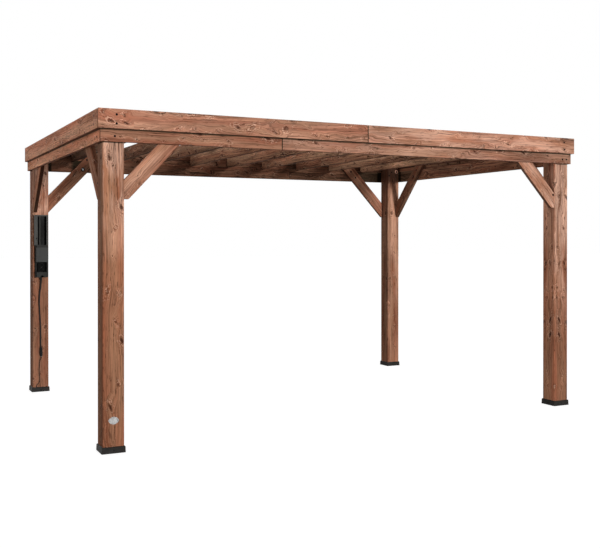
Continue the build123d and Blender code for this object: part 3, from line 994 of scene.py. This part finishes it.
def post_screws():
    """The screws through each post's head, and one more in a pale patch of painted sunlight."""
    places = []
    for side_x in (-1, 1):
        for side_y in (-1, 1):
            for across, height in POST_HEAD_SCREWS:
                spot = (side_x * (-post_x + across), side_y * inner_y, height)
                places.append((spot, (0, -side_y, 0)))
    screws("post_screws", places)
    across, height = SUNLIT_SCREW
    spot = (-post_x + across, inner_y, height)
    forward = (0, -1, 0)
    discs("post_sunlight_patch", painted_sunlight_cedar, "cedar", (spot, forward, SUNLIGHT_PATCH_RADIUS, SUNLIGHT_PATCH_THICKNESS, 24, 0.6))
    screws("post_sunlight_patch_screw", [(spot, forward)], BRACE_SCREW_RADIUS)


def shoe_screws():
    """One small screw in the middle of each side of each shoe."""
    places = []
    for corner in corners:
        low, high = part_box(f"shoe_{corner}")
        middle = (low + high) / 2
        places += [
            ((middle.x, low.y + SHOE_LEAN, SHOE_SCREW_HEIGHT), (0, -1, 0)),
            ((middle.x, high.y - SHOE_LEAN, SHOE_SCREW_HEIGHT), (0, 1, 0)),
            ((low.x + SHOE_LEAN, middle.y, SHOE_SCREW_HEIGHT), (-1, 0, 0)),
            ((high.x - SHOE_LEAN, middle.y, SHOE_SCREW_HEIGHT), (1, 0, 0)),
        ]
    screws("shoe_screws", places, SHOE_SCREW_RADIUS, SHOE_SCREW_RADIUS / 2)


def outlet_faces():
    """The slots and earth holes of the two outlets, dark blocks of painted shade in their sunk
    faces, and their rims.
    """
    low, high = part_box("outlet_block")
    middle = (low + high) / 2
    face = low.y + OUTLET_SINK
    forward = (0, -1, 0)
    heights = [middle.z + step * OUTLET_PITCH / 2 for step in (-1, 1)]
    # Dark blocks of painted shade stand in for the holes of the slots and earth pins
    mesh = bmesh.new()
    for height in heights:
        for side in (-1, 1):
            x = middle.x + side * SLOT_REACH
            foot = (x - SLOT_HALF_WIDTH, face - SLOT_PROUD, height)
            head = (x + SLOT_HALF_WIDTH, face + SLOT_SUNK, height + SLOT_HEIGHT)
            add_block(mesh, foot, head, SLOT_SOFTENING)
        earth = (middle.x, face + EARTH_THICKNESS - SLOT_PROUD, height - EARTH_DROP)
        add_disc(mesh, earth, forward, EARTH_RADIUS, EARTH_THICKNESS, 20)
    finish_piece("outlet_slots", mesh, painted_slot_shade)
    rims = bmesh.new()
    for height in heights:
        add_ring(rims, (middle.x, low.y, height), forward, OUTLET_RIM_RADIUS, OUTLET_RIM_THICKNESS)
    spot = (middle.x, low.y, middle.z)
    add_disc(rims, spot, forward, MIDDLE_SCREW_RADIUS, MIDDLE_SCREW_THICKNESS, 20)
    finish_piece("outlet_rims", rims, rail_grey)


def badge_rim():
    """A raised line inside the badge's edge and two small dark screws at its tips."""
    low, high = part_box("blank_badge")
    middle = (low + high) / 2
    half_width = (high.x - low.x) / 2 - BADGE_TIP_MARGIN
    half_height = (high.z - low.z) / 2 - BADGE_MARGIN
    radius = (half_width ** 2 + half_height ** 2) / (2 * half_height)
    reach = math.asin(half_width / radius)
    mesh = bmesh.new()
    for side in (-1, 1):
        centre = Vector((middle.x, low.y, middle.z + side * (half_height - radius)))
        start = (
            Matrix.Translation(centre)
            @ Matrix.Rotation(-reach * side, 4, "Y")
            @ Matrix.Translation((0, 0, side * radius))
            @ Matrix.Rotation(math.radians(90), 4, "Y")
        )
        section = bmesh.ops.create_circle(
            mesh, segments=8, radius=BADGE_LINE_RADIUS, matrix=start
        )["verts"]
        turn_section(mesh, section, centre, (0, side, 0), 2 * reach, 40)
    finish_piece("badge_rim", mesh, badge_metal)
    tip = half_width - BADGE_PIN_INSET
    tips = [(middle.x + side * tip, low.y, middle.z) for side in (-1, 1)]
    pins = [(spot, (0, -1, 0), BADGE_PIN_RADIUS, BADGE_PIN_THICKNESS, 16) for spot in tips]
    discs("badge_pins", screw_black, "housing_paint", *pins)


def housing_knob():
    """A latch knob on the box's left edge."""
    forward = Vector((0, -1, 0))
    spot = Vector((housing_low.x + KNOB_INSET, housing_low.y, KNOB_HEIGHT))
    discs(
        "housing_knob", outlet_black, "connector_plastic",
        (spot, forward, KNOB_RADIUS, KNOB_STEP, 24),
        (spot + KNOB_STEP * forward, forward, KNOB_TIP_RADIUS, KNOB_STEP, 24, 0.6),
    )


head_screws()
brace_screws()
post_screws()
shoe_screws()
outlet_faces()
badge_rim()
housing_knob()


# The cord and the supply lead: the same points as the CAD's, out from the post's face

CORD_POINTS = (
    (-0.0015, 0.0300, 1.0800),
    (-0.0015, 0.0300, 1.0348),
    (-0.0125, 0.0250, 0.9637),
    (-0.0175, 0.0160, 0.8797),
    (-0.0125, 0.0095, 0.7893),
    (-0.0065, 0.0085, 0.6924),
    (-0.0035, 0.0100, 0.5890),
    (-0.0039, 0.0172, 0.4919),
    (-0.0015, 0.0160, 0.4340),
)
LEAD_POINTS = (
    (0.0025, 0.0140, 0.3380),
    (0.0030, 0.01375, 0.3260),
    (-0.0110, 0.0120, 0.2970),
    (-0.0155, 0.0070, 0.2413),
    (-0.0145, 0.0050, 0.1798),
    (-0.0085, 0.0055, 0.1241),
    (-0.0110, 0.0060, 0.0948),
    (-0.0420, 0.0035, 0.0626),
    (-0.0420, 0.0035, 0.0450),
)
CORD_DIAMETER = 0.014
LEAD_DIAMETER = 0.006


def on_post(across, out, height):
    """A point before the rear left post: across it, out from its face, and its height."""
    return Vector((post_x + across, post_face - out, height))


def smooth_line(name, points, diameter, material):
    """A round cord along one smooth line through the points' hull."""
    data = bpy.data.curves.new(name, "CURVE")
    data.dimensions = "3D"
    data.bevel_depth = diameter / 2
    data.bevel_resolution = 6
    data.resolution_u = 12
    data.use_fill_caps = True
    line = data.splines.new("NURBS")
    line.points.add(len(points) - 1)
    for target, point in zip(line.points, points):
        target.co = (*on_post(*point), 1.0)
    line.order_u = 3
    line.use_endpoint_u = True
    piece = bpy.data.objects.new(name, data)
    bpy.context.collection.objects.link(piece)
    data.materials.append(material)
    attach(piece, "root")
    return piece


def hang_cords():
    """The power cord from the gland to the plug, and the lead from the coupler to the shoe."""
    cord = smooth_line("hung_cord", CORD_POINTS, CORD_DIAMETER, cord_black)
    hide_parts("power_cord")
    lead = smooth_line("hung_lead", LEAD_POINTS, LEAD_DIAMETER, cord_black)
    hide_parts("supply_lead")


def connector_grips():
    """Grip ribs round the plug and the coupler, and a pale seal at the lead's end."""
    top = on_post(*CORD_POINTS[-1])
    foot = on_post(*LEAD_POINTS[0])
    axis = (foot - top).normalized()
    ribs = bmesh.new()
    for down in PLUG_RIBS:
        add_ring(ribs, top + axis * down, axis, PLUG_RADIUS, PLUG_RIB_THICKNESS)
    for down in COUPLER_RIBS:
        add_ring(ribs, top + axis * down, axis, COUPLER_RADIUS, COUPLER_RIB_THICKNESS)
    add_ring(ribs, top + axis * LOCK_RING, axis, COUPLER_RADIUS, LOCK_RING_THICKNESS)
    finish_piece("connector_ribs", ribs, connector_black)
    seal = bmesh.new()
    add_ring(seal, foot - axis * SEAL_RISE, axis, SEAL_RADIUS, SEAL_THICKNESS)
    finish_piece("lead_seal", seal, seal_grey)


hang_cords()
connector_grips()


# Camera, light and floor

# The photograph's camera, found by fitting the frame's corners: in pixels, metres and degrees
PICTURE_WIDTH = 600.0
PICTURE_MIDDLE = 274.0
LENS_MIDDLE = 242.551
FOCAL_LENGTH = 890.418
SENSOR_WIDTH = 36.0
CAMERA_PLACE = (-3.558, -7.5177, 1.4702)
CAMERA_DIP = 0.196
CAMERA_TURN = 26.227
# Name, strength, softness, height and turn from the front towards the right, the angles in degrees
LAMPS = (
    ("key_front", 2.75, 8.0, 2.5, 9.0),
    ("fill_left", 1.20, 30.0, 6.0, -80.0),
    ("fill_right", 1.10, 30.0, 6.0, 98.0),
    ("fill_rear", 1.50, 30.0, 7.0, 172.0),
)
WHITE = (1.0, 1.0, 1.0, 1.0)
SKY_STRENGTH = 0.23
FLOOR_SIZE = 60.0
FLOOR_BOUNCE = 0.5
FLOOR_WHITE = 0.85
FLOOR_GLOW = 0.5
FLOOR_GLOW_STRENGTH = 1.76


def aim_camera():
    """The photograph's camera."""
    data = bpy.data.cameras.new("camera")
    data.sensor_width = SENSOR_WIDTH
    data.lens = SENSOR_WIDTH * FOCAL_LENGTH / PICTURE_WIDTH
    data.shift_y = -(PICTURE_MIDDLE - LENS_MIDDLE) / PICTURE_WIDTH
    data.clip_end = 200.0
    camera = bpy.data.objects.new("camera", data)
    bpy.context.collection.objects.link(camera)
    camera.location = CAMERA_PLACE
    camera.rotation_euler = (math.radians(90.0 - CAMERA_DIP), 0.0, math.radians(-CAMERA_TURN))
    bpy.context.scene.camera = camera


def seen_share(tree, rays):
    """1 for what the camera sees, also in a reflection or through glass, and 0 for other rays."""
    seen = calc(tree, "MAXIMUM", rays["Is Camera Ray"], rays["Is Glossy Ray"])
    return calc(tree, "MAXIMUM", seen, rays["Is Transmission Ray"])


def light_scene():
    """Low soft lamps, a weak sky all round, and a white background."""
    for name, strength, softness, height, turn in LAMPS:
        data = bpy.data.lights.new(name, "SUN")
        data.energy = strength
        data.angle = math.radians(softness)
        lamp = bpy.data.objects.new(name, data)
        bpy.context.collection.objects.link(lamp)
        lamp.rotation_euler = (math.radians(90.0 - height), 0.0, math.radians(turn))
    world = bpy.data.worlds.new("studio")
    bpy.context.scene.world = world
    world.use_nodes = True
    tree = world.node_tree
    tree.nodes.clear()
    seen = seen_share(tree, put(tree, "ShaderNodeLightPath").outputs)
    soft = put(tree, "ShaderNodeBackground", {"Color": WHITE, "Strength": SKY_STRENGTH})
    white = put(tree, "ShaderNodeBackground", {"Color": WHITE, "Strength": 1.0})
    both = put(tree, "ShaderNodeMixShader", {0: seen, 1: soft.outputs[0], 2: white.outputs[0]})
    output = put(tree, "ShaderNodeOutputWorld")
    tree.links.new(both.outputs[0], output.inputs["Surface"])
    bpy.context.scene.view_settings.view_transform = "Standard"


def lay_floor():
    """A wide pale floor that meets the white background and keeps the object's shadow."""
    mesh = bmesh.new()
    bmesh.ops.create_grid(mesh, x_segments=1, y_segments=1, size=FLOOR_SIZE)
    data = bpy.data.meshes.new("floor")
    mesh.to_mesh(data)
    mesh.free()
    floor = bpy.data.objects.new("floor", data)
    bpy.context.collection.objects.link(floor)
    material = bpy.data.materials.new("floor_white")
    material.use_nodes = True
    tree = material.node_tree
    tree.nodes.clear()
    rays = put(tree, "ShaderNodeLightPath").outputs
    glowing = product(tree, seen_share(tree, rays), FLOOR_GLOW)
    pale = vary(tree, rays["Is Camera Ray"], 0.0, 1.0, FLOOR_BOUNCE, FLOOR_WHITE)
    lit = put(tree, "ShaderNodeBsdfDiffuse", {"Color": join(tree, pale, pale, pale)})
    glow = put(tree, "ShaderNodeEmission", {"Color": WHITE, "Strength": FLOOR_GLOW_STRENGTH})
    both = put(tree, "ShaderNodeMixShader", {0: glowing, 1: lit.outputs[0], 2: glow.outputs[0]})
    output = put(tree, "ShaderNodeOutputMaterial")
    tree.links.new(both.outputs[0], output.inputs["Surface"])
    data.materials.append(material)


aim_camera()
light_scene()
lay_floor()
